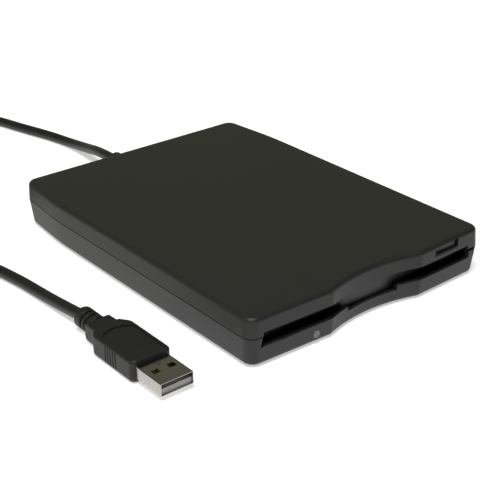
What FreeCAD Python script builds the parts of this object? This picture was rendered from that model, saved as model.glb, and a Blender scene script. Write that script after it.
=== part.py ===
import FreeCAD, Part
import math
import os
from FreeCAD import Vector

# External 3.5-inch floppy disk drive. Millimetres, +X right and -Y towards the user, +Z up.
# The origin is on the table, under the middle of the case.
case_width = 104.0
case_length = 140.4
foot_height = 0.6
case_top = 18.0
seam_z = 10.8
post_split = 7.0
draft = 1.0
wall = 1.8
skin = 1.6
taper_y = 40.0
taper_bend = 100.0
taper_angle = math.radians(5.1)
front_y = -case_length / 2
back_y = case_length / 2

slot_left = -46.6
slot_right = 45.4
slot_low = 7.3
slot_high = 12.4
scoop_left = -18.5
scoop_right = 21.5
scoop_middle = 1.3
scoop_depth = 3.4
notch_left = -9.6
notch_right = 12.9
notch_z = 5.6
button_left = 28.4
button_right = 40.1
button_low = 14.1
button_high = 16.9
button_front = front_y + 1.9
led_x = -25.0
led_z = 3.85
led_radius = 1.35
corner_radius = 4.0
shoulder_radius = 2.2
inner_radius = 2.4
ahead = front_y - 2.0
slot_depth = 8.0

# Drive mechanism: levels of the parts stacked between the two covers.
plate_low = 3.0
plate_top = 3.8
frame_half = 47.4
frame_front = -55.5
frame_back = 61.5
drive_column = 40.0
drive_rows = (-38.0, 42.9)
lid_low = 15.1
bay_low = 8.4
bay_high = 12.6
bay_half = 45.4
carrier_drop = 2.0
slider_low = 13.9
slider_travel = 4.5
tongue_left = 31.0
tongue_right = 38.0
tongue_front = -58.6
pin_rows = (-45.0, 20.0)
pin_z = 11.6

flap_y = -63.7
flap_z = 13.5
flap_foot = 5.4

spindle_y = -16.0
rotor_radius = 19.0
head_y = 23.5
head_travel = 15.0
arm_pivot_y = head_y + 29.5
arm_pivot_z = 13.2
screw_x = 18.4
screw_z = 9.0
rod_x = 10.0
rod_z = 5.4
lever_x = -38.0
lever_y = 36.0
lever_reach = 26.0
lever_rest = math.radians(-62.0)
lever_swing = math.radians(51.6)
board_top = plate_top + 0.8
header_x = -21.0
header_width = 10.0
header_end = 56.0
header_pitch = 2.0
wire_d = 0.8
wire_step = 0.9
relief_inner_y = back_y - 4.2

# Data lead: a 4.2 mm cable from the back wall, a coil on the table, and a flat plug.
cord_d = 4.2
exit_y = back_y + 14.5
exit_z = 8.3
coil_x = -80.0
coil_y = 119.0
coil_inner = 19.8
coil_middle = 24.05
coil_outer = 28.3
coil_high = 6.4
plug_x = -76.0
plug_z = 4.05
plug_back = -12.3
plug_front = -52.0
plug_tip = -64.7
neck_radius = 2.9
rib_radius = 3.7
ribs = ((plug_back, 3.4), (-16.7, 1.4), (-19.1, 2.4))
heel_back = -20.9
flare_start = -26.2
head_back = -29.9
head_half = 7.4
head_low = plug_z - 3.85
head_high = plug_z + 4.0
shell_half = 6.0
shell_high = 2.25
shell_root = plug_front + 4.0
contact_places = (-3.5, -1.0, 1.0, 3.5)
cord_low = cord_d / 2 + 0.02
rear_route = [
    (0.0, exit_y, exit_z), (0.8, 97.5, 7.8), (3.0, 111.0, 4.6), (3.9, 126.5, cord_low),
    (1.2, 141.0, cord_low), (-3.6, 157.5, cord_low), (-8.5, 178.0, cord_low), (-24.0, 198.0, cord_low),
    (-51.0, 206.0, cord_low), (-79.0, 192.0, cord_low), (-98.2, 164.05, cord_low),
    (-107.5, 125.65, cord_low)]
front_route = [
    (-103.68, 114.82, coil_high), (-100.3, 95.6, 6.7), (-95.8, 77.5, 3.2), (-88.0, 61.0, cord_low),
    (-80.8, 43.5, cord_low), (-78.0, 26.0, cord_low), (-76.9, 11.5, cord_low), (-76.6, -0.5, 3.1),
    (plug_x, plug_back, plug_z)]


def box(x0, x1, y0, y1, z0, z1):
    return Part.makeBox(x1 - x0, y1 - y0, z1 - z0, Vector(x0, y0, z0))


def rod(radius, length, x, y, z, along=(0, 0, 1)):
    return Part.makeCylinder(radius, length, Vector(x, y, z), Vector(*along))


def ring(outer, inner, length, x, y, z, along=(0, 0, 1)):
    return rod(outer, length, x, y, z, along).cut(rod(inner, length, x, y, z, along))


def fused(first, *others):
    return first.fuse(list(others)).removeSplitter()


def group(solids):
    return Part.makeCompound(list(solids))


def plate(points, z0, z1):
    corners = [Vector(x, y, z0) for x, y in points]
    return Part.Face(Part.makePolygon(corners + corners[:1])).extrude(Vector(0, 0, z1 - z0))


def save(name, shape):
    if not shape.isValid():
        print("not valid:", name)
    shape.exportStep("parts/" + name + ".step")


def outline(grow, z):
    """The case seen from above: straight sides that draw in at the back, and a finger scoop in front."""
    half = case_width / 2 - draft + grow
    back = back_y - draft + grow
    corner_front = front_y + draft + 1.1 - grow
    shoulder = front_y + draft - grow
    bend = [Vector(half - taper_bend * (1 - math.cos(a)), taper_y + taper_bend * math.sin(a), z)
            for a in (0, taper_angle / 2, taper_angle)]
    tail_half = bend[2].x - (back - bend[2].y) * math.tan(taper_angle)
    right = Part.Arc(*bend).toShape()
    left = Part.Arc(*[Vector(-p.x, p.y, z) for p in bend[::-1]]).toShape()
    first_right, last_right = bend[0], bend[2]
    first_left, last_left = Vector(-bend[0].x, bend[0].y, z), Vector(-bend[2].x, bend[2].y, z)
    tail_right, tail_left = Vector(tail_half, back, z), Vector(-tail_half, back, z)
    front_right, front_left = Vector(half, corner_front, z), Vector(-half, corner_front, z)
    shoulder_right, shoulder_left = Vector(scoop_right, shoulder, z), Vector(scoop_left, shoulder, z)
    scoop = Part.Arc(shoulder_left, Vector(scoop_middle, shoulder + scoop_depth, z), shoulder_right).toShape()
    return Part.Wire([line(front_right, first_right), right, line(last_right, tail_right),
                      line(tail_right, tail_left), line(tail_left, last_left), left,
                      line(first_left, front_left), line(front_left, shoulder_left), scoop,
                      line(shoulder_right, front_right)])


def line(start, end):
    return Part.LineSegment(start, end).toShape()


def is_upright(edge):
    first, last = edge.Vertexes[0].Point, edge.Vertexes[-1].Point
    return abs(first.z - last.z) > 0.2


def case_block(low, high, grow_low, grow_high, corner, shoulder):
    """A solid between two levels, drafted, with its upright edges rounded."""
    block = Part.makeLoft([outline(grow_low, low), outline(grow_high, high)], True, True)
    regions = (
        (corner, lambda p: abs(p.x) > 40 and abs(p.y) > 60),
        (shoulder, lambda p: abs(p.x) < 30))
    for radius, inside in regions:
        chosen = [e for e in block.Edges if is_upright(e) and inside(e.CenterOfMass)]
        block = block.makeFillet(radius, chosen)
    return block


def edges_at(shape, z):
    return [e for e in shape.Edges if abs(e.BoundBox.ZMin - z) < 0.01 and abs(e.BoundBox.ZMax - z) < 0.01]


def prism(points, depth):
    """A straight bar whose outline is given as (x, z) points, from in front of the case towards +Y."""
    corners = [Vector(x, ahead, z) for x, z in points]
    return Part.Face(Part.makePolygon(corners + corners[:1])).extrude(Vector(0, depth, 0))


def bottom_shell():
    outer = case_block(foot_height, seam_z, 0.0, draft, corner_radius, shoulder_radius)
    outer = outer.makeFillet(1.8, edges_at(outer, foot_height))
    inner = case_block(foot_height + skin, seam_z, 0.16 - wall, draft - wall, inner_radius, inner_radius)
    lip_out, lip_in, lip_top = draft - 0.9, draft - wall + 0.2, seam_z + 1.1
    lip_outer = case_block(seam_z, lip_top, lip_out, lip_out, 3.0, shoulder_radius)
    lip_inner = case_block(seam_z - 0.1, lip_top, lip_in, lip_in, 2.5, inner_radius)
    lip_gap = box(-52, 52, ahead, front_y + 9, seam_z - 1, seam_z + 3)
    lip = lip_outer.cut([lip_inner, lip_gap])
    post_low = foot_height + 0.4
    posts = [rod(2.6, plate_low - post_low, x, y, post_low) for x, y in drive_points()]
    posts += [rod(2.4, post_split - post_low, x, y, post_low) for x, y in case_screw_points()]
    shell = outer.cut(inner).fuse([lip] + posts)
    # The lower half of the disk slot, the finger notch below it and the step at its left end.
    corner = slot_left - 1.0
    cuts = [box(slot_left, slot_right, ahead, front_y + slot_depth, slot_low, seam_z + 3),
            box(notch_left, notch_right, ahead, front_y + slot_depth, notch_z, slot_low + 1),
            prism([(slot_left + 0.1, seam_z + 1), (slot_left + 0.1, slot_low), (corner, slot_low - 0.4),
                   (slot_left - 0.2, seam_z + 1)], slot_depth + 1),
            prism([(corner, slot_low - 0.7), (-29.5, slot_low + 0.1), (corner, slot_low + 0.1)], 3.2)]
    # The window that the top cover's right-hand catch drops into, and the cable's opening at the back.
    cuts.append(box(slot_right - 0.5, 48.8, ahead, front_y + 5, 7.6, seam_z + 3))
    cuts.append(box(-3.2, 3.2, back_y - 4, back_y + 2, 5.1, seam_z + 3))
    cuts.append(rod(led_radius, 10, led_x, ahead, led_z, (0, 1, 0)))
    cuts.append(box(-46.4, 44.6, flap_y - 1.3, -61.0, flap_foot - 0.4, seam_z + 1))
    for x, y in drive_points() + case_screw_points():
        cuts.append(rod(1.1, 9, x, y, 0))
        cuts.append(rod(2.1, 1.1, x, y, 0.4))
    cuts += [rod(4.1, 0.45, x, y, foot_height) for x, y in foot_points()]
    cuts.append(box(-27.2, 27.2, -5.2, 25.2, foot_height, foot_height + 0.15))
    return shell.cut(cuts).removeSplitter()


def drive_points():
    return [(x, y) for x in (-drive_column, drive_column) for y in drive_rows]


def case_screw_points():
    return [(-43.5, 64.9), (43.5, 64.9)]


def foot_points():
    return [(x, y) for x in (-41.0, 41.0) for y in (-57.0, 56.0)]


def top_shell():
    top_grow = 0.7
    ceiling = case_top - skin
    outer = case_block(seam_z, case_top, draft, top_grow, corner_radius, shoulder_radius)
    outer = outer.makeFillet(1.6, edges_at(outer, case_top))
    inner = case_block(seam_z, ceiling, draft - wall, top_grow - wall, inner_radius, inner_radius)
    rebate_top = seam_z + 0.3
    rebate = case_block(seam_z, rebate_top, draft + 1, draft + 1, 4.5, shoulder_radius)
    rebate = rebate.cut(case_block(seam_z, rebate_top, draft - 0.3, draft - 0.3, 3.8, shoulder_radius))
    # Two lugs that carry the flap's wire, and two catches that hook the covers together. The right-hand
    # catch has a nose that fills its window in the bottom cover.
    additions = [box(x, x + 1.7, -65.1, -62.3, slot_high, ceiling) for x in (-47.9, 46.0)]
    additions.append(box(45.7, 48.5, front_y + 1.9, front_y + 3.4, 7.8, seam_z + 1.5))
    additions.append(box(45.7, 48.3, front_y + 0.6, front_y + 1.9, 8.0, 10.2))
    additions.append(box(-49.4, -48.1, -66.4, -64.9, 8.6, ceiling))
    post_foot = post_split + 0.02
    additions += [rod(2.4, ceiling - post_foot, x, y, post_foot) for x, y in case_screw_points()]
    sill_back, sill_top = front_y + 1.3, button_low + 0.1
    bevel = [Vector(button_left, front_y - 1, button_low - 0.9), Vector(button_left, sill_back, button_low),
             Vector(button_left, sill_back, sill_top), Vector(button_left, ahead, sill_top)]
    bevel = Part.Face(Part.makePolygon(bevel + bevel[:1])).extrude(Vector(button_right - button_left, 0, 0))
    cuts = [rebate, bevel, rod(0.5, 95.6, -47.9, flap_y, flap_z, (1, 0, 0)),
            box(button_left, button_right, ahead, front_y + 5.4, button_low, button_high),
            box(-3.2, 3.2, back_y - 4, back_y + 2, seam_z - 1, 11.5)]
    cuts += [rod(0.9, 4.0, x, y, 6.0) for x, y in case_screw_points()]
    slot = box(slot_left, slot_right, ahead, front_y + slot_depth, seam_z - 1, slot_high)
    groove = case_block(seam_z, seam_z + 1.2, draft - 0.8, draft - 0.8, 3.1, shoulder_radius)
    return outer.cut([inner, slot, groove]).fuse(additions).cut(cuts).removeSplitter()


def screw(x, y, z_head, head, shank, length, up=1):
    """A pan-head screw; the head's top is at z_head and the shank runs away from it."""
    head_part = rod(head, 0.7, x, y, z_head, (0, 0, up))
    body = rod(shank, length, x, y, z_head + 0.7 * up, (0, 0, up))
    cross = box(x - head * 0.6, x + head * 0.6, y - 0.2, y + 0.2, z_head - 0.4, z_head + 0.4)
    cross = cross.fuse(box(x - 0.2, x + 0.2, y - head * 0.6, y + head * 0.6, z_head - 0.4, z_head + 0.4))
    return head_part.fuse(body).cut(cross)


def feet():
    pads = []
    for x, y in foot_points():
        pad = rod(4.0, foot_height + 0.45, x, y, 0)
        pads.append(pad.makeFillet(0.3, edges_at(pad, 0)))
    return group(pads)


def button():
    left, right = button_left + 0.2, button_right - 0.2
    low, high = button_low + 0.15, button_high - 0.15
    cap_back = front_y + 5.0
    cap = box(left, right, button_front, cap_back, low, high)
    cap = cap.makeChamfer(0.2, [e for e in cap.Edges if e.BoundBox.YMax < button_front + 0.01])
    stem = box(tongue_left, tongue_right, cap_back, tongue_front, 15.0, 15.9)
    return fused(cap, stem)


def light_guide():
    """A clear rod from the lamp on the motor's board to the front, with a rounded tip."""
    tip = front_y + 0.5
    shape = rod(led_radius, frame_front - 1.35 - tip, led_x, tip, led_z, (0, 1, 0))
    return shape.makeFillet(0.5, [e for e in shape.Edges if e.BoundBox.YMax < tip + 0.01])


def flap():
    barrel = rod(1.05, 90.0, -46.0, flap_y, flap_z, (1, 0, 0))
    leaf = box(-46.0, 44.0, flap_y - 1.05, flap_y - 0.15, flap_foot, flap_z)
    spring_room = box(42.0, 45.0, flap_y - 1.3, flap_y + 1.3, flap_z - 1.2, flap_z + 1.3)
    bore = rod(0.56, 92.0, -47.0, flap_y, flap_z, (1, 0, 0))
    return barrel.fuse(leaf).cut([spring_room, bore]).removeSplitter()


def coil_spring(radius, wire, turns, pitch, start, along):
    """A helical spring of round wire that starts at a point and runs along an axis."""
    helix = Part.makeHelix(pitch, pitch * turns, radius)
    profile = Part.Wire(Part.makeCircle(wire / 2, Vector(radius, 0, 0), Vector(0, 1, 0)))
    spring = Part.Wire(helix).makePipeShell([profile], True, True)
    turn = FreeCAD.Rotation(Vector(0, 0, 1), Vector(*along))
    spring.Placement = FreeCAD.Placement(Vector(*start), turn)
    return spring


def chassis():
    sheet, wall_top = 0.6, 13.0
    base = box(-frame_half, frame_half, frame_front, frame_back, plate_low, plate_top)
    parts = [box(x, x + sheet, frame_front, frame_back, plate_low, wall_top)
             for x in (-frame_half, frame_half - sheet)]
    rear = box(-frame_half, frame_half, frame_back - sheet, frame_back, plate_low, wall_top)
    parts.append(rear.cut(box(-32, -8, frame_back - 2, frame_back + 1, 5.0, 14.0)))
    shape = base.fuse(parts)
    for x in (-43.0, 43.0):
        shape = shape.fuse(rod(2.0, lid_low - plate_low, x, 58.2, plate_low))
        shape = shape.cut(rod(0.7, 4.0, x, 58.2, lid_low - 3.5))
    shape = shape.cut(rod(4.0, 3.0, 0, spindle_y, plate_low - 1))
    for y in pin_rows:
        reach = pin_z - carrier_drop - 0.87
        shape = shape.cut(box(-60, 60, y - 0.87, y + 0.87, reach, 14.0))
    for x, y in drive_points():
        shape = shape.cut(rod(1.0, 3.0, x, y, plate_low - 1))
    shape = shape.cut(box(23.0, 41.0, 10.0, 30.0, plate_low - 1, plate_top + 1))
    return shape.removeSplitter()


def lid():
    sheet = box(-frame_half, frame_half, -50.0, frame_back, lid_low, lid_low + 0.4)
    sides = [box(x, x + 0.4, -50.0, frame_back, 9.0, lid_low + 0.4) for x in (-frame_half - 0.4, frame_half)]
    shape = sheet.fuse(sides)
    for x in (-38.0, 38.0):
        shape = shape.fuse(box(x - 0.5, x + 0.5, -41.0, -40.4, 13.5, lid_low + 0.1))
    shape = shape.cut(box(-22.0, 22.0, -30.0, -8.0, lid_low - 1, lid_low + 1))
    shape = shape.cut(box(-9.0, 9.0, 12.0, 46.0, lid_low - 1, lid_low + 1))
    for y in pin_rows:
        shape = shape.cut(box(-60, 60, y - 1.6, y + 1.6, 8.0, pin_z + 1.2))
    for x in (-43.0, 43.0):
        shape = shape.cut(rod(0.8, 3.0, x, 58.2, lid_low - 1))
    return shape.removeSplitter()


def carrier():
    top = box(-bay_half - 0.5, bay_half + 0.5, frame_front + 0.5, 34.0, bay_high, bay_high + 0.5)
    parts = []
    for side in (-1, 1):
        inner, outer = sorted((side * bay_half, side * (bay_half + 0.5)))
        parts.append(box(inner, outer, frame_front + 0.5, 31.0, bay_low - 0.5, bay_high + 0.5))
        inner, outer = sorted((side * (bay_half - 2.8), side * (bay_half + 0.5)))
        parts.append(box(inner, outer, frame_front + 0.5, 31.0, bay_low - 0.5, bay_low))
        inner, outer = sorted((side * 25.0, side * 33.0))
        parts.append(box(inner, outer, 30.3, 30.9, bay_low, bay_high + 0.5))
        start, reach = (bay_half + 0.5, 1.5) if side > 0 else (-bay_half - 2.0, 1.5)
        for y in pin_rows:
            parts.append(rod(0.8, reach, start, y, pin_z, (1, 0, 0)))
    parts.append(box(lever_x - 4.0, lever_x + 5.0, 33.0, 40.0, bay_high, bay_high + 0.5))
    shape = top.fuse(parts)
    shape = shape.cut(box(-9.0, 9.0, 1.0, 36.0, bay_high - 1, bay_high + 2))
    shape = shape.cut(arc_slot(lever_x, lever_y, lever_reach, lever_rest, lever_swing, 1.5))
    shape = shape.cut(rod(0.75, 3.0, lever_x, lever_y, bay_high - 1))
    shape = shape.cut(box(-20.0, 20.0, -44.0, -24.0, bay_high - 1, bay_high + 2))
    return shape.removeSplitter()


def arc_slot(x, y, reach, start, swing, half):
    """A slot of round ends, bent about a pivot, cut up through the carrier's top plate."""
    low, high = bay_high - 1.0, bay_high + 1.5
    first, last = math.degrees(start), math.degrees(start + swing)
    band = Part.makeCylinder(reach + half, high - low, Vector(x, y, low), Vector(0, 0, 1), last - first)
    band.rotate(Vector(x, y, low), Vector(0, 0, 1), first)
    band = band.cut(rod(reach - half, high - low, x, y, low))
    ends = [rod(half, high - low, x + reach * math.cos(a), y + reach * math.sin(a), low)
            for a in (start, start + swing)]
    return band.fuse(ends)


def slider():
    """The eject plate: it slides forward and back, and its slanted slots lift the carrier's pins."""
    top = box(-46.6, 46.6, -50.0, 28.0, slider_low, slider_low + 0.6)
    parts = [box(x, x + 0.5, -50.0, 28.0, 8.2, slider_low + 0.6) for x in (-46.6, 46.1)]
    parts.append(box(tongue_left, tongue_right, -56.8, -50.0, slider_low, slider_low + 0.6))
    parts.append(box(tongue_left, tongue_right, -57.4, -56.8, slider_low, 15.9))
    parts.append(box(tongue_left, tongue_right, tongue_front, -57.4, 15.3, 15.9))
    shape = top.fuse(parts)
    shape = shape.cut(box(-12.0, 12.0, -2.0, 30.0, slider_low - 1, slider_low + 2))
    shape = shape.cut(box(-24.0, 24.0, -42.0, -12.0, slider_low - 1, slider_low + 2))
    shape = shape.cut(box(-31.0, -16.0, 2.0, 24.0, slider_low - 1, slider_low + 2))
    for x in (-38.0, 38.0):
        shape = shape.cut(box(x - 1.5, x + 1.5, -42.0, -13.0, slider_low - 1, slider_low + 2))
    for y in pin_rows:
        shape = shape.cut(slanted_slot(y))
    return shape.removeSplitter()


def slanted_slot(y):
    half = 0.87
    top = Vector(-60, y, pin_z)
    foot = Vector(-60, y + slider_travel, pin_z - carrier_drop)
    run = foot.sub(top)
    across = Vector(0, -run.z, run.y).normalize().multiply(half)
    corners = [top.add(across), foot.add(across), foot.sub(across), top.sub(across)]
    shape = Part.Face(Part.makePolygon(corners + corners[:1])).extrude(Vector(120, 0, 0))
    ends = [rod(half, 120, -60, p.y, p.z, (1, 0, 0)) for p in (top, foot)]
    return shape.fuse(ends)


def lever():
    tip_x = lever_x + lever_reach * math.cos(lever_rest)
    tip_y = lever_y + lever_reach * math.sin(lever_rest)
    run = Vector(tip_x - lever_x, tip_y - lever_y, 0).normalize()
    side = Vector(-run.y, run.x, 0)
    low, high = bay_high + 0.6, bay_high + 1.2
    base = Vector(lever_x, lever_y, 0)
    tip = Vector(tip_x, tip_y, 0)
    wide, narrow = side * 3.0, side * 1.8
    points = [(p.x, p.y) for p in (base + wide, base - wide, tip - narrow, tip + narrow)]
    arm = plate(points, low, high)
    shape = arm.fuse([rod(3.0, high - low, lever_x, lever_y, low), rod(1.8, high - low, tip_x, tip_y, low),
                      rod(1.2, high - bay_low - 0.6, tip_x, tip_y, bay_low + 0.6)])
    return shape.cut(rod(0.85, 3.0, lever_x, lever_y, low - 1)).removeSplitter()


def lever_rivet():
    stem = rod(0.75, 2.2, lever_x, lever_y, bay_high)
    cap = rod(1.9, 0.3, lever_x, lever_y, bay_high + 2.2)
    return stem.fuse(cap).removeSplitter()


def motor_board():
    board = box(-43.5, 43.5, frame_front + 0.3, 3.6, plate_top, plate_top + 0.5)
    board = board.cut(rod(4.3, 3, 0, spindle_y, plate_top - 1))
    return board


def stator():
    coils = []
    for index in range(9):
        angle = 2 * math.pi * index / 9
        x = 12.6 * math.cos(angle)
        y = spindle_y + 12.6 * math.sin(angle)
        coils.append(ring(3.8, 1.7, 0.5, x, y, plate_top + 0.5))
    return group(coils)


def bearing():
    sleeve = rod(4.0, 2.4, 0, spindle_y, 2.6)
    return sleeve.cut(rod(1.55, 3.0, 0, spindle_y, 2.9))


def rotor_cup():
    disc = rod(rotor_radius, 0.8, 0, spindle_y, 5.7)
    rim = ring(rotor_radius, rotor_radius - 0.8, 0.6, 0, spindle_y, 5.1)
    hub = rod(2.8, 0.6, 0, spindle_y, 5.1)
    return disc.fuse([rim, hub]).cut(rod(1.5, 4, 0, spindle_y, 4.5)).removeSplitter()


def chuck():
    shape = rod(12.0, 0.7, 0, spindle_y, 6.5).cut(rod(1.5, 2, 0, spindle_y, 6))
    return shape.cut(rod(1.0, 2, 0, spindle_y + 9.8, 6))


def spindle_shaft():
    shape = rod(1.5, 5.35, 0, spindle_y, 2.95)
    return shape.makeChamfer(0.4, edges_at(shape, 8.3))


def switch_body(x, y):
    low = plate_top + 0.5
    body = box(x - 2.4, x + 2.4, y - 2.2, y + 2.2, low, 6.6)
    return body.cut(rod(0.87, 4, x, y, low + 0.2))


def plunger(x, y):
    shape = rod(0.8, 2.3, x, y, 5.8)
    return shape.makeChamfer(0.3, edges_at(shape, 8.1))


switch_places = {"write_protect": (-39.5, -49.5), "density": (39.5, -49.5), "disk_in": (32.5, -49.5)}


def control_board():
    board = box(-43.0, -13.5, 6.0, 60.0, plate_top, plate_top + 0.8)
    return board.cut(rod(2.2, 3.0, -43.0, 58.2, plate_top - 1))


def quad_package(x, y, size, height):
    low = plate_top + 0.8
    body = box(x - size / 2, x + size / 2, y - size / 2, y + size / 2, low + 0.1, low + height)
    legs = []
    count = int(size / 1.3)
    for index in range(count):
        shift = (index - (count - 1) / 2) * 1.1
        reach = size / 2 + 0.9
        legs.append(box(x - reach, x + reach, y + shift - 0.2, y + shift + 0.2, low, low + 0.3))
        legs.append(box(x + shift - 0.2, x + shift + 0.2, y - reach, y + reach, low, low + 0.3))
    return body.fuse(legs).removeSplitter()


def board_chips():
    chips = [quad_package(-30.0, 22.0, 12.0, 1.4), quad_package(-24.0, 45.0, 9.0, 1.4)]
    low = plate_top + 0.8
    can = box(-40.5, -37.0, 40.0, 50.0, low, low + 1.9)
    chips.append(can.makeFillet(1.2, [e for e in can.Edges if is_upright(e)]))
    return group(chips)


def usb_header():
    """A wire header that is open towards the back, where the lead's conductors slope down into it."""
    half, side_wall, mouth = header_width / 2, 0.8, header_end + 3.5
    body = box(header_x - half, header_x + half, header_end - 1.5, mouth, board_top, board_top + 5.2)
    half -= side_wall
    pocket = box(header_x - half, header_x + half, header_end, mouth + 0.5, board_top + 0.8, board_top + 4.4)
    return body.cut(pocket)


def inner_wires():
    """The lead's four conductors, one above another behind the frame, and side by side in the header."""
    wires = []
    behind_frame = frame_back + 1.7
    for place in (-1.5, -0.5, 0.5, 1.5):
        level = exit_z + place * wire_step
        x = header_x + place * header_pitch
        points = [Vector(0, relief_inner_y, level), Vector(0, behind_frame + 1.0, level),
                  Vector(x, behind_frame, level), Vector(x, header_end + 0.3, board_top + 2.1)]
        wires.append(pipe(points, wire_d)[0])
    return group(wires)


def stepper():
    body = rod(5.2, 10.2, screw_x, 50.7, screw_z, (0, 1, 0))
    return body.cut(rod(1.27, 8.0, screw_x, 50.0, screw_z, (0, 1, 0)))


def stepper_bracket():
    base = box(14.0, 22.0, 31.2, 50.7, plate_top, plate_top + 0.6)
    front = box(screw_x - 3.0, screw_x + 3.0, 31.2, 32.0, plate_top, 10.3)
    back = box(screw_x - 5.8, screw_x + 5.8, 50.1, 50.7, plate_top, 13.9)
    shape = base.fuse([front, back])
    shape = shape.cut(rod(1.0, 3, screw_x, 30, screw_z, (0, 1, 0)))
    return shape.cut(rod(1.27, 3, screw_x, 49, screw_z, (0, 1, 0))).removeSplitter()


def lead_screw():
    shape = rod(0.95, 26.0, screw_x, 30.9, screw_z, (0, 1, 0)).fuse(
        rod(1.2, 25.6, screw_x, 32.2, screw_z, (0, 1, 0)))
    pitch = 1.1
    for index in range(int((head_travel + 2.0) / pitch)):
        y = 33.2 + index * pitch
        groove = ring(1.6, 0.95, 0.5, screw_x, y, screw_z, (0, 1, 0))
        shape = shape.cut(groove)
    return shape.removeSplitter()


def guide_rods():
    return group([rod(1.2, frame_back - 0.6 - 5.6, x, 5.6, rod_z, (0, 1, 0)) for x in (-rod_x, rod_x)])


def rod_clamps():
    clamps = []
    for x in (-rod_x, rod_x):
        for y in (6.4, 57.6):
            clamp = box(x - 2.3, x + 2.3, y, y + 2.6, plate_top, rod_z + 1.8)
            clamps.append(clamp.cut(rod(1.2, 70, x, 0, rod_z, (0, 1, 0))))
    return group(clamps)


def carriage():
    nose = box(-5.5, 5.5, head_y - 4.0, head_y + 9.0, 4.4, 6.2)
    sled = box(-12.0, 12.0, head_y + 8.0, head_y + 33.0, 4.4, 6.8)
    tower = box(-6.0, 6.0, head_y + 24.0, head_y + 33.0, 6.0, 11.4)
    ears = [box(x, x + 1.6, head_y + 27.0, head_y + 32.0, 11.0, arm_pivot_z + 1.4) for x in (-7.6, 6.0)]
    supports = [box(x, x + 2.0, head_y + 26.0, head_y + 33.0, 6.0, 11.6) for x in (-7.6, 5.6)]
    follower = box(11.0, screw_x - 1.35, head_y + 23.9, head_y + 25.9, 8.2, 9.8)
    post = box(10.4, 12.0, head_y + 23.9, head_y + 29.0, 6.0, 9.8)
    shape = nose.fuse([sled, tower, follower, post] + ears + supports)
    for x in (-rod_x, rod_x):
        shape = shape.cut(rod(1.26, 80, x, 0, rod_z, (0, 1, 0)))
    shape = shape.cut(box(-5.0, 5.0, head_y + 12.0, head_y + 22.0, 3, 8))
    shape = shape.cut(rod(0.5, 20, -10, arm_pivot_y, arm_pivot_z, (1, 0, 0)))
    return shape.removeSplitter()


def lower_head():
    base = box(-4.0, 4.0, head_y - 3.5, head_y + 3.5, 6.2, 6.6)
    slider_block = box(-1.6, 1.6, head_y - 2.2, head_y + 2.2, 6.6, 8.3)
    return base.fuse(slider_block).removeSplitter()


def upper_arm():
    barrel = rod(1.2, 11.6, -5.8, arm_pivot_y, arm_pivot_z, (1, 0, 0))
    beam = box(-5.2, 5.2, head_y - 3.5, arm_pivot_y, arm_pivot_z + 0.1, arm_pivot_z + 1.1)
    shape = barrel.fuse(beam)
    shape = shape.cut(box(-2.6, 2.6, head_y + 6.0, head_y + 22.0, 12, 16))
    return shape.cut(rod(0.56, 20, -10, arm_pivot_y, arm_pivot_z, (1, 0, 0))).removeSplitter()


def upper_head():
    base = box(-4.0, 4.0, head_y - 3.2, head_y + 3.5, arm_pivot_z - 0.2, arm_pivot_z + 0.1)
    return base.fuse(box(-1.6, 1.6, head_y - 2.2, head_y + 2.2, 12.7, arm_pivot_z - 0.2)).removeSplitter()


def head_ribbon():
    """The flat cable from the heads to the board, with one loose bend that takes up the travel."""
    path = [(-12.2, 52.0), (-13.6, 52.0), (-15.4, 51.2), (-16.4, 49.6)]
    low, high = 5.0, 6.4
    outer = [Vector(x, y, low) for x, y in path]
    inner = [Vector(x - 0.05, y - 0.22, low) for x, y in reversed(path)]
    wire = Part.makePolygon(outer + inner + outer[:1])
    return Part.Face(wire).extrude(Vector(0, 0, high - low))


def strain_relief():
    flange = rod(5.4, 1.2, 0, relief_inner_y, exit_z, (0, 1, 0)).common(box(-6, 6, 60, 80, 3.6, 13.2))
    neck = box(-3.1, 3.1, relief_inner_y + 1.1, back_y + 0.1, 5.2, 11.4)
    sleeve = Part.makeCone(3.75, 3.55, exit_y - back_y, Vector(0, back_y, exit_z), Vector(0, 1, 0))
    sleeve = sleeve.makeFillet(0.6, [e for e in sleeve.Edges if e.BoundBox.YMin > exit_y - 0.01])
    return flange.fuse([neck, sleeve]).removeSplitter()


def pipe(points, diameter):
    """A round tube along straight runs that are joined by arcs; returns it and the arcs' radii."""
    points = [Vector(*p) if isinstance(p, tuple) else p for p in points]
    edges = []
    radii = []
    start = points[0]
    for before, corner, after in zip(points, points[1:], points[2:]):
        back = before.sub(corner)
        ahead = after.sub(corner)
        reach = 0.45 * min(back.Length, ahead.Length)
        turn = math.pi - back.getAngle(ahead)
        radius = reach / math.tan(turn / 2)
        radii.append(radius)
        u, v = Vector(back).normalize(), Vector(ahead).normalize()
        first, last = corner.add(u * reach), corner.add(v * reach)
        to_centre = u.add(v).normalize()
        middle = corner.add(to_centre * (radius / math.cos(turn / 2) - radius))
        edges.append(line(start, first))
        edges.append(Part.Arc(first, middle, last).toShape())
        start = last
    edges.append(line(start, points[-1]))
    path = Part.Wire(edges)
    circle = Part.Wire(Part.makeCircle(diameter / 2, points[0], points[1].sub(points[0])))
    return path.makePipeShell([circle], True, False), radii, path.Length


def cord_tube(name, route):
    tube, radii, length = pipe(route, cord_d)
    section = math.pi * cord_d ** 2 / 4
    print(name, "length", round(length, 1), "volume ratio", round(tube.Volume / section / length, 4),
          "radii", [round(r, 1) for r in radii])
    save(name, tube)


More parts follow.
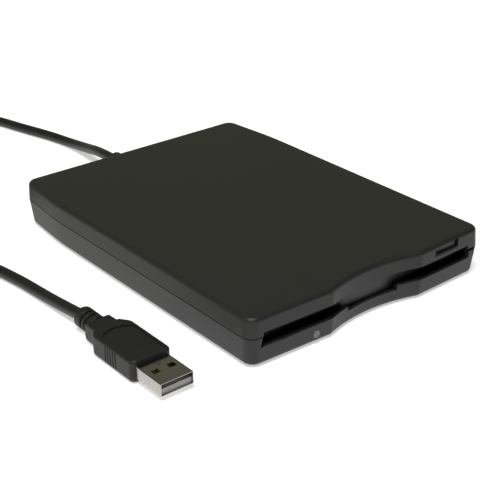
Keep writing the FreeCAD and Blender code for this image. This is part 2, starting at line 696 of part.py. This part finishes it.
def cord_coil():
    """Four turns of the lead: three side by side on the table, and the rest on top of the two inner ones."""
    inner, middle, outer = coil_inner - cord_d / 2, coil_middle + cord_d / 2, coil_outer + cord_d / 2
    top, step = coil_high + cord_d / 2, cord_low + cord_d / 2
    shape = ring(outer, inner, step, coil_x, coil_y, 0).fuse(ring(middle, inner, top, coil_x, coil_y, 0))
    shape = shape.removeSplitter()
    rims = [e for e in shape.Edges if e.BoundBox.ZLength < 0.01 and e.BoundBox.XLength > 2 * middle - 0.1
            or e.BoundBox.ZLength < 0.01 and e.BoundBox.XLength < 2 * inner + 0.1]
    rims = [e for e in rims if abs(e.BoundBox.ZMin - step) > 0.01 or e.BoundBox.XLength > 2 * outer - 0.1]
    return shape.makeFillet(1.4, rims)


def plug_overmold():
    """The moulded grip of the plug: a flat head, a narrower heel and a ribbed sleeve for the lead."""
    neck = rod(neck_radius, plug_back - 0.4 - heel_back, plug_x, plug_back - 0.4, plug_z, (0, -1, 0))
    sleeve = []
    for y, length in ribs:
        rib = rod(rib_radius, length, plug_x, y, plug_z, (0, -1, 0))
        sleeve.append(rib.makeFillet(0.5, rib.Edges))
    pocket = box(plug_x - shell_half, plug_x + shell_half, plug_front - 0.1, shell_root,
                 plug_z - shell_high, plug_z + shell_high)
    shape = plug_head().fuse([plug_heel(), neck] + sleeve)
    return shape.cut([pocket] + grip_grooves()).removeSplitter()


def both_sides(half):
    """A closed outline about the plug's axis, from (y, half width) pairs."""
    return [(plug_x - w, y) for y, w in half] + [(plug_x + w, y) for y, w in reversed(half)]


def plug_head():
    """The flat grip; its top has a shallow panel that ends towards the heel in an arc."""
    head = plate(both_sides([(flare_start, 4.8), (head_back, head_half), (plug_front, head_half)]),
                 head_low, head_high)
    corners = [e for e in head.Edges if is_upright(e) and e.BoundBox.YMax < head_back + 0.1]
    front_corners = [e for e in corners if e.BoundBox.YMax < plug_front + 0.1]
    rear_corners = [e for e in corners if e.BoundBox.YMin > head_back - 0.1]
    head = head.makeFillet(2.2, front_corners).makeFillet(3.0, rear_corners)
    head = head.makeFillet(1.5, edges_at(head, head_low)).makeFillet(1.1, edges_at(head, head_high))
    panel_half, panel_low, arc_radius, arc_tip = 5.9, head_high - 0.35, 8.5, -30.7
    arc_middle = arc_tip - arc_radius
    arc = rod(arc_radius, 1, plug_x, arc_middle, panel_low)
    panel = box(plug_x - panel_half, plug_x + panel_half, plug_front + 1.4, arc_tip, panel_low, head_high + 1)
    behind = box(plug_x - 9, plug_x + 9, arc_middle, arc_tip + 1, panel_low, head_high + 1).cut(arc)
    return head.cut(panel.cut(behind))


def plug_heel():
    low, high = plug_z - 3.4, plug_z + 3.25
    heel = plate(both_sides([(heel_back, 4.6), (flare_start - 1.0, 4.9)]), low, high)
    return heel.makeFillet(0.9, edges_at(heel, low) + edges_at(heel, high))


def grip_grooves():
    pitch, first, depth = 1.4, -37.1, 0.35
    return [rod(depth, 12, plug_x + side * head_half, first - index * pitch, -1)
            for side in (-1, 1) for index in range(5)]


def plug_shell():
    sheet = 0.3
    x, z = plug_x, plug_z
    outer = box(x - shell_half, x + shell_half, plug_tip, shell_root, z - shell_high, z + shell_high)
    outer = outer.makeFillet(0.35, [e for e in outer.Edges if e.BoundBox.YLength > 5])
    outer = outer.makeFillet(0.14, [e for e in outer.Edges if e.BoundBox.YMax < plug_tip + 0.01])
    inner_half, inner_high = shell_half - sheet, shell_high - sheet
    shape = outer.cut(box(x - inner_half, x + inner_half, plug_tip - 1, shell_root + 1,
                          z - inner_high, z + inner_high))
    hole = 1.25
    for middle in (x - 2.9, x + 2.9):
        shape = shape.cut(box(middle - hole, middle + hole, -58.9, -56.7, z - 5, z + 5))
    dimple = Part.makeSphere(2.0, Vector(x + 0.3, -54.6, z + shell_high + 1.85))
    return shape.cut(dimple)


def plug_tongue():
    half, low, high = shell_half - 0.3, plug_z - 1.95, plug_z + 1.95
    face = plug_z - 0.1
    tongue = box(plug_x - half, plug_x + half, plug_tip + 0.9, shell_root, low, face)
    block = box(plug_x - half, plug_x + half, plug_front, shell_root, face, high)
    grooves = [contact_box(place, face + 0.1) for place in contact_places]
    return tongue.fuse(block).cut(grooves).removeSplitter()


def plug_contacts():
    return group([contact_box(place, plug_z - 0.05) for place in contact_places])


def contact_box(place, top):
    middle = plug_x + place
    return box(middle - 0.5, middle + 0.5, plug_tip + 2.6, plug_front, plug_z - 0.3, top)


def build():
    save("bottom_cover", bottom_shell())
    save("top_cover", top_shell())
    save("rubber_feet", feet())
    save("case_screws", group([screw(x, y, 0.8, 2.0, 0.9, 7.9) for x, y in case_screw_points()]))
    save("drive_screws", group([screw(x, y, 0.8, 2.0, 1.0, 2.3) for x, y in drive_points()]))
    save("rating_plate", box(-27.0, 27.0, -5.0, 25.0, foot_height + 0.01, foot_height + 0.15))
    save("eject_button", button())
    save("led_lens", light_guide())
    save("status_led", box(led_x - 1.6, led_x + 1.6, frame_front - 1.35, frame_front, 3.0, 4.7))
    save("dust_flap", flap())
    save("flap_pin", rod(0.5, 95.6, -47.9, flap_y, flap_z, (1, 0, 0)))
    save("flap_spring", coil_spring(0.82, 0.3, 6, 0.5, (42.3, flap_y, flap_z), (1, 0, 0)))
    save("chassis", chassis())
    save("chassis_lid", lid())
    save("lid_screws", group([screw(x, 58.2, lid_low + 1.1, 1.4, 0.7, 3.6, -1) for x in (-43.0, 43.0)]))
    save("disk_carrier", carrier())
    save("eject_slider", slider())
    save("eject_springs", group([coil_spring(0.68, 0.3, 24, 1.05, (x, -40.2, 14.2), (0, 1, 0))
                                 for x in (-38.0, 38.0)]))
    save("shutter_lever", lever())
    save("lever_pivot", lever_rivet())
    save("lever_spring", coil_spring(1.5, 0.25, 2, 0.3, (lever_x, lever_y, bay_high + 1.37), (0, 0, 1)))
    save("motor_board", motor_board())
    save("stator_coils", stator())
    save("spindle_bearing", bearing())
    save("rotor_cup", rotor_cup())
    save("rotor_magnet", ring(17.6, 8.2, 0.6, 0, spindle_y, 5.1))
    save("chuck_plate", chuck())
    save("spindle_shaft", spindle_shaft())
    save("drive_pin", rod(1.0, 1.7, 0, spindle_y + 9.8, 6.5))
    for name, (x, y) in switch_places.items():
        save(name + "_switch", switch_body(x, y))
        save(name + "_plunger", plunger(x, y))
    save("control_board", control_board())
    save("board_chips", board_chips())
    save("usb_header", usb_header())
    save("inner_wires", inner_wires())
    save("stepper_motor", stepper())
    save("stepper_bracket", stepper_bracket())
    save("lead_screw", lead_screw())
    save("guide_rods", guide_rods())
    save("rod_clamps", rod_clamps())
    save("head_carriage", carriage())
    save("lower_head", lower_head())
    save("upper_arm", upper_arm())
    save("upper_head", upper_head())
    save("arm_pin", rod(0.5, 15.2, -7.6, arm_pivot_y, arm_pivot_z, (1, 0, 0)))
    save("head_ribbon", head_ribbon())
    save("strain_relief", strain_relief())
    cord_tube("cord_rear_run", rear_route)
    cord_tube("cord_front_run", front_route)
    save("cord_coil", cord_coil())
    save("plug_overmold", plug_overmold())
    save("plug_shell", plug_shell())
    save("plug_tongue", plug_tongue())
    save("plug_contacts", plug_contacts())


os.makedirs("parts", exist_ok=True)
build()
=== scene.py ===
import math

import bpy
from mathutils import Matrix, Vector


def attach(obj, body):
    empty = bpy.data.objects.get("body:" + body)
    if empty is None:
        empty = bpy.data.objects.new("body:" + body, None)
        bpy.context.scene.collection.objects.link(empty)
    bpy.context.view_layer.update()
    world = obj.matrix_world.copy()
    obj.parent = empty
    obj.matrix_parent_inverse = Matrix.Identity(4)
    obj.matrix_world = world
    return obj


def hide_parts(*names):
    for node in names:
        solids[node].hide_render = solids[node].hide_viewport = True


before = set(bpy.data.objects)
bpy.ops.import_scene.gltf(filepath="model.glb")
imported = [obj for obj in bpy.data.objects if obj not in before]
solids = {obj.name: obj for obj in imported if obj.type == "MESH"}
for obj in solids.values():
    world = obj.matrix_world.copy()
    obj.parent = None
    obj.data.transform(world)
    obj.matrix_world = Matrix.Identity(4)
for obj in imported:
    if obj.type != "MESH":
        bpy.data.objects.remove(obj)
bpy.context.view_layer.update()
bpy.ops.object.select_all(action="DESELECT")
bpy.context.scene.view_settings.view_transform = "Standard"

# Camera: the photographer stood to the left of the slot, about 45 cm away and 20 cm above the table,
# with a long lens. The lens is shifted a little, as in a picture that is cropped off its centre.
camera = bpy.data.objects.new("camera", bpy.data.cameras.new("camera"))
bpy.context.scene.collection.objects.link(camera)
bpy.context.scene.camera = camera
camera.location = (-0.24532, -0.31177, 0.1985)
camera.rotation_euler = (math.radians(63.659), math.radians(0.363), math.radians(-39.424))
camera.data.lens = 89.72
camera.data.shift_x = -0.0448
camera.data.shift_y = 0.0041


# Table and studio light: a wide white sheet under the drive, a soft lamp above the camera, a weaker one
# on the left, and a dim room: an olive wall far behind the drive, and darkness behind the camera.
class Wire:
    """One output of a node tree. Sums and products of wires add their own Math nodes."""

    def __init__(self, tree, socket):
        self.tree = tree
        self.socket = socket

    def node(self, kind, settings=None, inputs=None, output=0):
        """Adds a node, sets it up, feeds its inputs with values or wires, and gives one output.

        A colour ramp is made with two stops, so the first two stops given are its ends."""
        made = self.tree.nodes.new("ShaderNode" + kind)
        for name, value in (settings or {}).items():
            if name == "stops":
                for stop, (position, colour) in zip(made.color_ramp.elements, value):
                    stop.position = position
                    stop.color = colour
                for position, colour in value[2:]:
                    made.color_ramp.elements.new(position).color = colour
            else:
                setattr(made, name, value)
        for name, value in (inputs or {}).items():
            self.feed(made.inputs[name], value)
        return Wire(self.tree, made.outputs[output])

    def feed(self, socket, value):
        if isinstance(value, Wire):
            self.tree.links.new(value.socket, socket)
        else:
            socket.default_value = value

    def maths(self, operation, first, second):
        return self.node("Math", {"operation": operation}, {0: first, 1: second})

    def __add__(self, other):
        return self.maths("ADD", self, other)

    def __mul__(self, other):
        return self.maths("MULTIPLY", self, other)

    __radd__ = __add__
    __rmul__ = __mul__

    def blend(self, first, second):
        """The first colour where this wire is 0, the second where it is 1, and a mix in between."""
        share, colour_0, colour_1, mixed = 0, 6, 7, 2
        inputs = {share: self, colour_0: first, colour_1: second}
        return self.node("Mix", {"data_type": "RGBA"}, inputs, mixed)

    def noise(self, grain, detail=2.0, stretch=(1.0, 1.0, 1.0)):
        """Noise over this wire's places, with grains of the given size in metres."""
        stretched = self.node("Mapping", None, {"Vector": self, "Scale": stretch})
        return self.node("TexNoise", None, {"Vector": stretched, "Scale": 1.0 / grain, "Detail": detail})


def new_material(name):
    """An empty material, its shader's inputs, and a wire that holds each point's place on the object."""
    material = bpy.data.materials.new(name)
    material.use_nodes = True
    tree = material.node_tree
    place = Wire(tree, tree.nodes.new("ShaderNodeTexCoord").outputs["Object"])
    return material, tree.nodes["Principled BSDF"].inputs, place


bpy.ops.mesh.primitive_plane_add(size=6.0)
table = bpy.context.object
table.name = "table"
table_white, shader, place = new_material("table_white")
shader["Base Color"].default_value = (0.93, 0.93, 0.93, 1.0)
shader["Roughness"].default_value = 1.0
shader["Specular IOR Level"].default_value = 0.0
# Seen directly, mirrored or through a clear piece, the sheet has a glow of its own and shows white. To
# other rays it has none, so it lights nothing and keeps the shadow.
no_glow, white_glow = (0.0, 0.0, 0.0, 1.0), (0.5, 0.5, 0.5, 1.0)
seen = place.node("LightPath", output="Is Camera Ray")
mirrored = place.node("LightPath", output="Is Glossy Ray")
seen_through = place.node("LightPath", output="Is Transmission Ray")
shader["Emission Strength"].default_value = 1.0
place.feed(shader["Emission Color"], (seen + mirrored + seen_through).blend(no_glow, white_glow))
table.data.materials.append(table_white)


def lamp(name, stand, width, power):
    """A square soft lamp, aimed at the middle of the drive."""
    light = bpy.data.lights.new(name, "AREA")
    light.size = width
    light.energy = power
    holder = bpy.data.objects.new(name, light)
    bpy.context.scene.collection.objects.link(holder)
    holder.location = stand
    holder.rotation_euler = (-Vector(stand)).to_track_quat("-Z", "Y").to_euler()


lamp("lamp_above", (-0.40, -0.40, 1.35), width=0.5, power=15.0)
lamp("lamp_left", (-1.30, 0.10, 0.35), width=0.6, power=1.2)
room = bpy.data.worlds.new("room")
bpy.context.scene.world = room
room.use_nodes = True
toward = Wire(room.node_tree, room.node_tree.nodes.new("ShaderNodeTexCoord").outputs["Generated"])
upwards = toward.node("SeparateXYZ", None, {"Vector": toward}, "Z")
backwards = toward.node("SeparateXYZ", None, {"Vector": toward}, "Y")
behind_drive = toward.node("MapRange", {"interpolation_type": "SMOOTHSTEP"},
                           {"Value": backwards, "From Min": -0.5, "From Max": 0.45})
wall_stops = [(0.0, (0.34, 0.33, 0.22, 1.0)), (1.0, (0.10, 0.10, 0.10, 1.0)),
              (0.40, (0.28, 0.27, 0.17, 1.0)), (0.62, (0.12, 0.12, 0.11, 1.0))]
olive_wall = toward.node("ValToRGB", {"stops": wall_stops}, {0: upwards})
dark_room = (0.04, 0.04, 0.045, 1.0)
toward.feed(room.node_tree.nodes["Background"].inputs["Color"], behind_drive.blend(dark_room, olive_wall))


# Lead: a round cable of four thin conductors in a soft black vinyl sheath. It leaves the back wall,
# lies on the table in a wide bend, is wound into four turns, and comes forward to its plug.
cord_width = 0.0042
cord_low = cord_width / 2 + 0.00002
rear_route = [
    (0.0, 0.0847, 0.0083), (0.0008, 0.0975, 0.0078), (0.003, 0.111, 0.0046), (0.0039, 0.1265, cord_low),
    (0.0012, 0.141, cord_low), (-0.0036, 0.1575, cord_low), (-0.0085, 0.178, cord_low),
    (-0.024, 0.198, cord_low), (-0.051, 0.206, cord_low), (-0.079, 0.192, cord_low),
    (-0.0982, 0.16405, cord_low)]
front_route = [
    (-0.1003, 0.0956, 0.0067), (-0.0958, 0.0775, 0.0032), (-0.088, 0.061, cord_low),
    (-0.0808, 0.0435, cord_low), (-0.078, 0.026, cord_low), (-0.0769, 0.0115, cord_low),
    (-0.0766, -0.0005, 0.0031), (-0.076, -0.0123, 0.00405)]
coil_centre = Vector((-0.080, 0.119, 0.0))
coil_inner, coil_middle, coil_outer = 0.0198, 0.02405, 0.0283
coil_high = 0.0064
coil_start, coil_end = 166.4, 1630.0
# The turns lie in two layers. Each change says after how many turns the lead starts to shift, and the
# radius and the height that it shifts to over the next eighth of a turn.
coil_shift = 45.0
coil_changes = [(0.875, coil_middle, cord_low), (1.875, coil_inner, cord_low),
                (2.75, coil_inner, coil_high), (3.625, coil_middle, coil_high)]


def coil_turns():
    """Points of the turns, from where the lead joins the coil to where it leaves it.

    The curve touches the lines between its points half way, so the points stand a little further out."""
    steps = 72
    step = (coil_end - coil_start) / steps
    outwards = 1.0 / math.cos(math.radians(step / 2))
    points = []
    for index in range(steps + 1):
        wound = index * step
        radius, height = coil_outer, cord_low
        for turns, next_radius, next_height in coil_changes:
            share = min(max((wound - 360.0 * turns) / coil_shift, 0.0), 1.0)
            share = share * share * (3.0 - 2.0 * share)
            radius += (next_radius - radius) * share
            height += (next_height - height) * share
        angle = math.radians(coil_start + wound)
        reach = radius * outwards
        points.append(coil_centre + Vector((reach * math.cos(angle), reach * math.sin(angle), height)))
    return points


lead_curve = bpy.data.curves.new("lead", "CURVE")
lead_curve.dimensions = "3D"
lead_curve.bevel_depth = cord_width / 2
lead_curve.bevel_resolution = 6
lead_curve.resolution_u = 10
lead_curve.use_fill_caps = True
spline = lead_curve.splines.new("NURBS")
route = rear_route + coil_turns() + front_route
spline.points.add(len(route) - 1)
for point, spot in zip(spline.points, route):
    point.co = (*spot, 1.0)
spline.order_u = 3
spline.use_endpoint_u = True
lead = bpy.data.objects.new("lead", lead_curve)
bpy.context.scene.collection.objects.link(lead)


def shades(colour, *factors):
    """Darker or paler shades of a colour."""
    return [[factor * part for part in colour] for factor in factors]


def mottled(name, colours, patch, roughness, swing, bumps, depth, grain):
    """A material whose colour varies in faint patches, and whose gloss and bumps follow a finer grain.

    The two colours are those of the darkest and the palest patch. The roughness swings both ways. The
    bumps have a strength and a depth in metres, and the grain is what noise() takes."""
    material, shader, place = new_material(name)
    darkest, palest = ((*colour, 1.0) for colour in colours)
    fine = place.noise(*grain)
    place.feed(shader["Base Color"], place.noise(patch).blend(darkest, palest))
    place.feed(shader["Roughness"], fine * (2 * swing) + (roughness - swing))
    relief = place.node("Bump", None, {"Strength": bumps, "Distance": depth, "Height": fine})
    place.feed(shader["Normal"], relief)
    return material, shader


def vinyl(name, colour, roughness):
    """Soft black vinyl: a faint sheen, with a fine orange-peel skin and slightly uneven gloss."""
    material, shader = mottled(name, shades(colour, 0.8, 1.2), patch=0.006, roughness=roughness,
                               swing=0.06, bumps=0.15, depth=0.0001, grain=(0.0011,))
    shader["Specular IOR Level"].default_value = 0.4
    return material


def dress(material, *names):
    """Gives CAD nodes their material."""
    for name in names:
        solids[name].data.materials.clear()
        solids[name].data.materials.append(material)


lead_curve.materials.append(vinyl("cord_vinyl", (0.011, 0.011, 0.011), roughness=0.42))
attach(lead, "case")
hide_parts("cord_rear_run", "cord_coil", "cord_front_run")

# Strain relief and plug grip: both are moulded round the lead in the same vinyl, a little duller than
# the lead's skin. The grip has ribs behind its heel and five finger grooves on each side.
dress(vinyl("mould_vinyl", (0.012, 0.012, 0.012), roughness=0.52), "strain_relief", "plug_overmold")

# Case: two shells moulded in black plastic. Their mould is spark-eroded, which gives them a fine matte
# grain. The colour leans a little to olive, and the gloss is slightly uneven.
case_colours = [(0.0150, 0.0152, 0.0145), (0.0180, 0.0182, 0.0172)]
case_plastic, shader = mottled("case_plastic", case_colours, patch=0.03, roughness=0.49, swing=0.05,
                               bumps=0.22, depth=0.00005, grain=(0.00022,))
shader["Specular IOR Level"].default_value = 0.42
dress(case_plastic, "top_cover", "bottom_cover")


def plastic(name, colour, roughness, grain, bumps):
    """A moulded plastic with its own grain and a slight mottle."""
    material, shader = mottled(name, shades(colour, 0.88, 1.12), patch=0.008, roughness=roughness,
                               swing=0.07, bumps=bumps, depth=0.00005, grain=(grain,))
    return material


# Dust flap and eject button: thinner mouldings in a blacker, slightly glossier plastic than the case.
# The flap hangs behind the slot and the button stands back in its window.
dress(plastic("key_plastic", (0.013, 0.013, 0.014), roughness=0.42, grain=0.0003, bumps=0.2),
      "eject_button", "dust_flap")

# Light guide and lamp: a smoke-grey acrylic rod with a rounded tip brings the lamp's light through the
# front wall. The lamp is moulded in green resin, and it isn't lit.
dress(plastic("lens_acrylic", (0.19, 0.195, 0.19), roughness=0.18, grain=0.0005, bumps=0.05), "led_lens")
dress(plastic("led_epoxy", (0.25, 0.5, 0.2), roughness=0.2, grain=0.0005, bumps=0.05), "status_led")


def metal(name, colour, roughness, grain, stretch=(1.0, 1.0, 1.0)):
    """Bare or plated metal with a fine grain, which a stretch draws out into streaks on rolled sheet."""
    material, shader = mottled(name, shades(colour, 0.86, 1.0), patch=0.005, roughness=roughness,
                               swing=0.1, bumps=0.1, depth=0.00003, grain=(grain, 3.0, stretch))
    shader["Metallic"].default_value = 1.0
    return material


# Underside: four glued pads of dull black rubber, zinc-plated screws that hold the covers, the drive
# and its lid, and the label's bare place, a smooth silvery film.
dress(plastic("foot_rubber", (0.02, 0.02, 0.02), roughness=0.8, grain=0.0004, bumps=0.3), "rubber_feet")
dress(metal("screw_zinc", (0.62, 0.62, 0.64), roughness=0.35, grain=0.0006),
      "case_screws", "drive_screws", "lid_screws")
dress(plastic("label_film", (0.62, 0.62, 0.60), roughness=0.4, grain=0.0008, bumps=0.1), "rating_plate")

# Springs and pivots: bright spring steel, drawn thin. The springs are wound from it, and the flap's
# wire and the arm's pin are straight lengths.
dress(metal("spring_wire", (0.60, 0.60, 0.58), roughness=0.3, grain=0.0003),
      "flap_pin", "flap_spring", "eject_springs", "lever_spring", "arm_pin")

# Frame, lid, disk carrier, eject plate and levers: thin galvanised sheet, pressed to shape. The rolled
# grain runs along the drive.
dress(metal("pressed_sheet", (0.66, 0.67, 0.68), roughness=0.38, grain=0.0009, stretch=(1.0, 0.12, 1.0)),
      "chassis", "chassis_lid", "disk_carrier", "eject_slider", "shutter_lever", "lever_pivot",
      "stepper_bracket", "rotor_cup", "upper_arm")

# Rods, screw, shaft and the stepper's can: ground or drawn steel, brighter than the sheet. The rods lie
# in their clamps, and the screw is driven straight from the stepper.
dress(metal("ground_steel", (0.72, 0.72, 0.73), roughness=0.18, grain=0.0003),
      "guide_rods", "lead_screw", "spindle_shaft", "drive_pin", "stepper_motor")

# Spindle motor: an oil-filled bronze bearing, nine coils of enamelled copper wire, a ring magnet of
# grey-black ferrite, and a pale chuck plate that the disk's hub sits on.
dress(metal("bronze", (0.65, 0.48, 0.25), roughness=0.4, grain=0.0003), "spindle_bearing")
dress(metal("copper", (0.75, 0.33, 0.16), roughness=0.3, grain=0.0002), "stator_coils")
dress(plastic("ferrite", (0.06, 0.055, 0.05), roughness=0.6, grain=0.0004, bumps=0.2), "rotor_magnet")
dress(plastic("chuck_acetal", (0.70, 0.69, 0.66), roughness=0.35, grain=0.0006, bumps=0.1), "chuck_plate")

# Boards: green solder mask over glass fibre, with black moulded packages soldered on. The lead's four
# conductors are shown in one red vinyl.
dress(plastic("board_green", (0.03, 0.16, 0.07), roughness=0.35, grain=0.001, bumps=0.1),
      "motor_board", "control_board")
dress(plastic("chip_epoxy", (0.02, 0.02, 0.02), roughness=0.5, grain=0.0003, bumps=0.2), "board_chips")
dress(plastic("wire_vinyl", (0.45, 0.04, 0.03), roughness=0.35, grain=0.0005, bumps=0.05), "inner_wires")

# Switches and rod clamps: black mouldings. The switches' three plungers and the header that the wires
# plug into are natural acetal, a warm white.
dress(plastic("switch_acetal", (0.03, 0.03, 0.033), roughness=0.4, grain=0.0005, bumps=0.1),
      "write_protect_switch", "density_switch", "disk_in_switch", "rod_clamps")
dress(plastic("plunger_acetal", (0.75, 0.74, 0.70), roughness=0.35, grain=0.0005, bumps=0.1),
      "write_protect_plunger", "density_plunger", "disk_in_plunger", "usb_header")

# Heads: a black nylon carriage rides on the rods, with a ceramic slider on it and one on its arm. An
# amber film ribbon joins them to the board.
dress(plastic("carriage_nylon", (0.06, 0.06, 0.06), roughness=0.5, grain=0.0004, bumps=0.2), "head_carriage")
dress(plastic("head_ceramic", (0.35, 0.30, 0.24), roughness=0.2, grain=0.0004, bumps=0.05),
      "lower_head", "upper_head")
dress(plastic("ribbon_film", (0.5, 0.24, 0.05), roughness=0.25, grain=0.001, bumps=0.05), "head_ribbon")

# Plug: a nickel-plated steel shell, folded from sheet, round a pale plastic tongue with four gilded
# contacts on it. The grip is moulded round its rear end.
plug_rolled = (1.0, 0.1, 1.0)
dress(metal("plug_nickel", (0.44, 0.42, 0.40), roughness=0.20, grain=0.0004, stretch=plug_rolled),
      "plug_shell")
dress(plastic("tongue_plastic", (0.60, 0.60, 0.58), roughness=0.4, grain=0.0005, bumps=0.1), "plug_tongue")
dress(metal("contact_gold", (0.85, 0.62, 0.28), roughness=0.25, grain=0.0004, stretch=plug_rolled),
      "plug_contacts")
